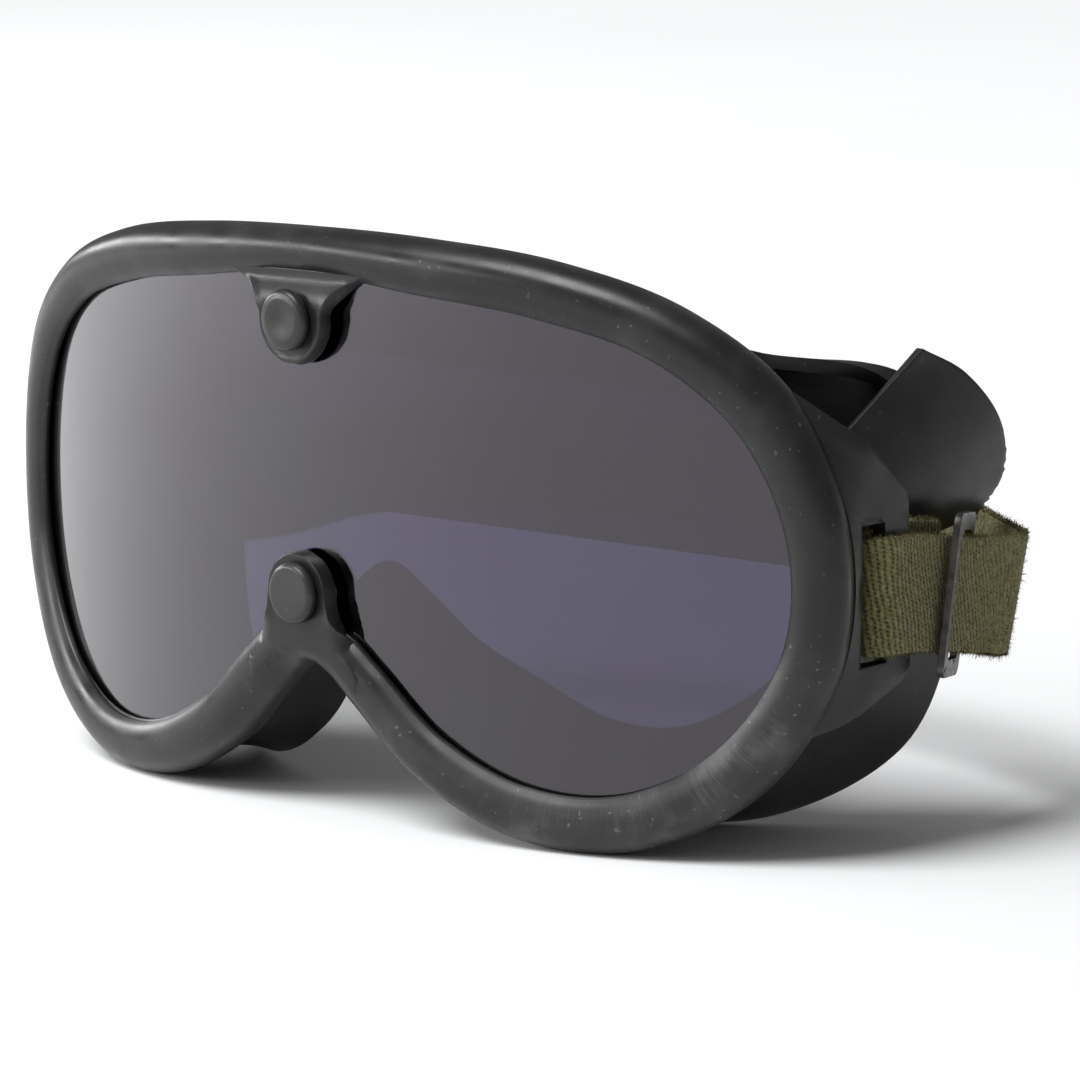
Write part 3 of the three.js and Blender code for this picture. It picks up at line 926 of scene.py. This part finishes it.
def nap(name, frames, count, seed):
    """Short curled fibres that stand out of the webbing, thickest along its edges."""
    draw = random.Random(seed)
    vertices, faces = [], []
    for _ in range(count):
        middle, out, up, felt = draw.choice(frames)
        if draw.random() > 0.5 + 0.5 * felt:
            continue
        if draw.random() < 0.5:
            v = draw.choice((-1, 1)) * (STRAP_WIDTH / 2 - 0.2)
            root = middle + out * draw.uniform(-0.75, 0.75) + up * v
            stand = Vector((0, 0, math.copysign(1, v)))
        else:
            side = draw.choice((-1, 1))
            root = middle + out * side * (STRAP / 2 - 0.12)
            root += up * draw.uniform(-0.48, 0.48) * STRAP_WIDTH
            stand = out * side * 0.6
        lean = Vector([draw.gauss(0, 1) for _ in range(3)]) * 0.75
        length = draw.uniform(0.3, 1.0) * (1.7 if draw.random() < 0.12 else 1)
        way = (stand + lean * 0.6).normalized()
        curl = (stand * 0.3 + lean).normalized()
        a = way.orthogonal().normalized()
        b = way.cross(a)
        first = len(vertices)
        for place, width in ((root, NAP_RADIUS), (root + way * length * 0.5, NAP_RADIUS * 0.8)):
            for t in (2 * math.pi * i / 3 for i in range(3)):
                vertices.append(place + (a * math.cos(t) + b * math.sin(t)) * width)
        vertices.append(root + way * length * 0.5 + curl * length * 0.5)
        faces.append((first + 2, first + 1, first))
        for i in range(3):
            j = (i + 1) % 3
            faces.append((first + i, first + j, first + 3 + j, first + 3 + i))
            faces.append((first + 3 + i, first + 3 + j, first + 6))
    piece = mesh_piece(name, vertices, faces, NAP, "headband_body")
    return piece


def make_headband():
    half = [Vector(p) for p in LOOP + BAND]
    path = half + [Vector(BAND_MIDDLE)] + [Vector((-p.x, p.y, p.z)) for p in reversed(half)]
    for p in path:
        p.z += FAR_LIFT * math.exp(-((p.x - FAR_LIFT_X) / FAR_LIFT_WIDTH) ** 2)
    piece, length, frames = webbing("knitted_headband", path, KNIT_STEP)
    stands_for(piece, "webbing", "headband", "left_strap_loop", "right_strap_loop")
    fibres = nap("headband_nap", frames, NAP_FIBRES, 11)


SLIDE_FRONT = Vector((93.6, 46.3, -9.2))
SLIDE_REAR = Vector((88.5, 55.4, -10.6))
SLIDE_LIFT = Vector((0, 0.2, 1))
SLIDE_BAR = 2.8
SLIDE_STRIP = 1.1
SLIDE_REACH = STRAP_WIDTH / 2 + 2


def make_slide(side, sign):
    """A stamped rectangle of thin steel, with a small hole at a lower corner."""
    run = SLIDE_REAR - SLIDE_FRONT
    half_run, half_lift = run.length / 2, SLIDE_LIFT.length * SLIDE_REACH
    bar = SLIDE_BAR / 2
    outer = round_rectangle(half_run + bar, half_lift + bar, 2.0)
    window = round_rectangle(half_run - bar, half_lift - bar, 0.9)
    hole = circle(-half_run, -half_lift, 0.5, 14)
    flat, faces = fill(outer, [window, hole], 0.9)
    middle = (SLIDE_FRONT + SLIDE_REAR) / 2
    along, up = run.normalized(), SLIDE_LIFT.normalized()
    points = []
    for a, b in flat:
        p = middle + along * a + up * b
        points.append(Vector((sign * p.x, p.y, p.z)))
    body = side + "_slide_body"
    piece = mesh_piece(side + "_steel_slide", points, [list(f) for f in faces], METAL, body)
    stands_for(thicken(piece, SLIDE_STRIP, 0.3), "slide_metal", side + "_slide")


BROW_END = 4.7
CHEEK_START = 5 + 2 / 3

make_bezel()
make_wall()
make_flange("brow_lip", -BROW_END, BROW_END, 140, INSIDE_FLAP, "brow_flange")
make_flange("cheek_and_nose_lip", CHEEK_START, 2 * LAST - CHEEK_START, 230, math.inf,
            "left_cheek_flange", "right_cheek_flange", "nose_flange")
for side, sign in (("left", 1), ("right", -1)):
    make_ear(side, sign)
    make_flap(side, sign)
    make_slide(side, sign)
make_tabs()
make_stud("top_lens_stud", "top_stud", "top_stud_body", TOP_STUD_Z, 0.35)
make_stud("nose_lens_stud", "nose_stud", "nose_stud_body", NOSE_STUD_Z, 0.0)
make_lens()
make_foam()
make_headband()


# The camera stands to the wearer's left and a little above. Its angles are in degrees.
CAMERA = Vector((599.33, -567.95, 130.95))
CAMERA_AZIMUTH = 44
CAMERA_ELEVATION = 9.326
CAMERA_ROLL = -1.1255
CAMERA_LENS = 174.65


def make_camera():
    data = bpy.data.cameras.new("camera")
    data.lens = CAMERA_LENS
    data.sensor_width = 36
    camera = bpy.data.objects.new("camera", data)
    bpy.context.scene.collection.objects.link(camera)
    turn = Matrix.Rotation(math.radians(CAMERA_AZIMUTH), 4, "Z")
    turn @= Matrix.Rotation(math.radians(90 - CAMERA_ELEVATION), 4, "X")
    turn @= Matrix.Rotation(math.radians(CAMERA_ROLL), 4, "Z")
    camera.matrix_world = Matrix.Translation(row(CAMERA)) @ turn
    bpy.context.scene.camera = camera


def area_light(name, place, target, size, power):
    data = bpy.data.lights.new(name, "AREA")
    data.shape = "RECTANGLE"
    data.size, data.size_y = size
    data.energy = power
    light = bpy.data.objects.new(name, data)
    bpy.context.scene.collection.objects.link(light)
    light.location = place
    light.rotation_euler = (Vector(target) - Vector(place)).to_track_quat("-Z", "Y").to_euler()


def stage_sheet(name, corners, material):
    data = bpy.data.meshes.new(name)
    data.from_pydata(corners, [], [(0, 1, 2, 3)])
    data.materials.append(material)
    sheet = bpy.data.objects.new(name, data)
    bpy.context.scene.collection.objects.link(sheet)
    return sheet


FLOOR = 6.0
TABLE_EDGE = 0.185
ROOM = 2
SKY_STRENGTH = 0.21
TOP_STRENGTH = 3.0
TOP_SPREAD = 32
TOP_WAY = (0.15, 0.5, -0.85)
STRIP_PLACE = (-1.42, -0.8, 0.5)
STRIP_TARGET = (0, 0, 0.06)
STRIP_SIZE = (2.5, 0.26)
STRIP_POWER = 26


def make_studio():
    """A pale floor under a soft light. Past the table's edge the room is dark, but only to the lens."""
    bpy.context.scene.view_settings.view_transform = "Standard"
    pale = Nodes("pale_floor", grey(0.86), 0.9)
    pale.ramp(pale.noise(3, 2), [(0.3, grey(0.85)), (0.7, grey(0.88))], "Base Color")
    corners = [(-FLOOR, -FLOOR, 0), (FLOOR, -FLOOR, 0), (FLOOR, FLOOR, 0), (-FLOOR, FLOOR, 0)]
    stage_sheet("floor", corners, pale.material)
    dark = Nodes("dark_room", grey(0.04), 0.9)
    dark.ramp(dark.noise(2, 2), [(0.3, grey(0.03)), (0.7, grey(0.05))], "Base Color")
    y = TABLE_EDGE
    corners = [(-ROOM, y, 0), (ROOM, y, 0), (ROOM, y, ROOM), (-ROOM, y, ROOM)]
    room = stage_sheet("dark_room", corners, dark.material)
    room.visible_camera = False
    room.visible_diffuse = False
    room.visible_glossy = False
    room.visible_shadow = False
    world = bpy.data.worlds.new("studio")
    bpy.context.scene.world = world
    world.use_nodes = True
    world.node_tree.nodes["Background"].inputs["Color"].default_value = (1, 1, 1, 1)
    world.node_tree.nodes["Background"].inputs["Strength"].default_value = SKY_STRENGTH
    sun = bpy.data.lights.new("soft_top", "SUN")
    sun.energy = TOP_STRENGTH
    sun.angle = math.radians(TOP_SPREAD)
    light = bpy.data.objects.new("soft_top", sun)
    bpy.context.scene.collection.objects.link(light)
    light.rotation_euler = Vector(TOP_WAY).to_track_quat("-Z", "Y").to_euler()
    area_light("left_strip", STRIP_PLACE, STRIP_TARGET, STRIP_SIZE, STRIP_POWER)


make_camera()
make_studio()
